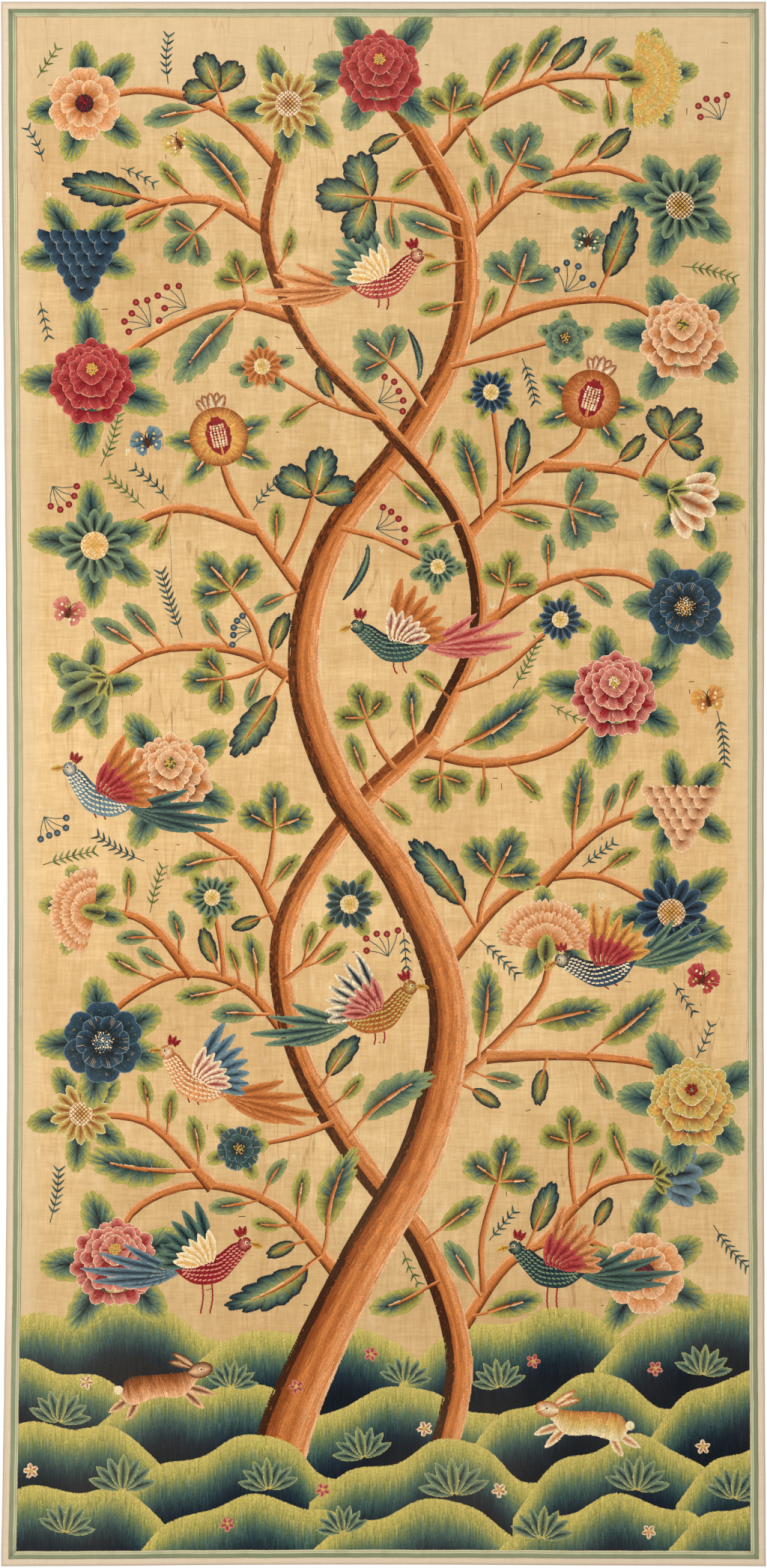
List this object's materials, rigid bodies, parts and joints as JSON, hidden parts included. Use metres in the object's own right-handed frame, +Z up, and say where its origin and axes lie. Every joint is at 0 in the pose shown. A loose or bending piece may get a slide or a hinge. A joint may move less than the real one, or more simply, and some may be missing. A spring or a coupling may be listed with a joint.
{
  "type": "crewel embroidery panel",
  "caption": "Tall hanging panel of linen worked in crewel wool with a flowering tree on hillocks, edged with striped woven tape on a turned linen hem.",
  "frame": {"origin": "middle of the top edge, in the plane of the wall that the back hangs against", "axes": "+Z up along the panel's height, +X to the right seen from the front, +Y into the wall, so the worked face looks along -Y"},
  "size_m": [1.124, 0.0068, 2.3],
  "materials": {
    "backing_linen": "undyed plain-weave linen, matt",
    "worked_ground": "aged honey-coloured linen with crewel wool in relief",
    "woven_tape": "woven tape, dull green with fine pale stripes"
  },
  "bodies": {
    "root": {"backing": "backing_linen", "ground_cloth": "worked_ground", "tape_top": "woven_tape", "tape_bottom": "woven_tape", "tape_left": "woven_tape", "tape_right": "woven_tape"}
  },
  "joints": []
}
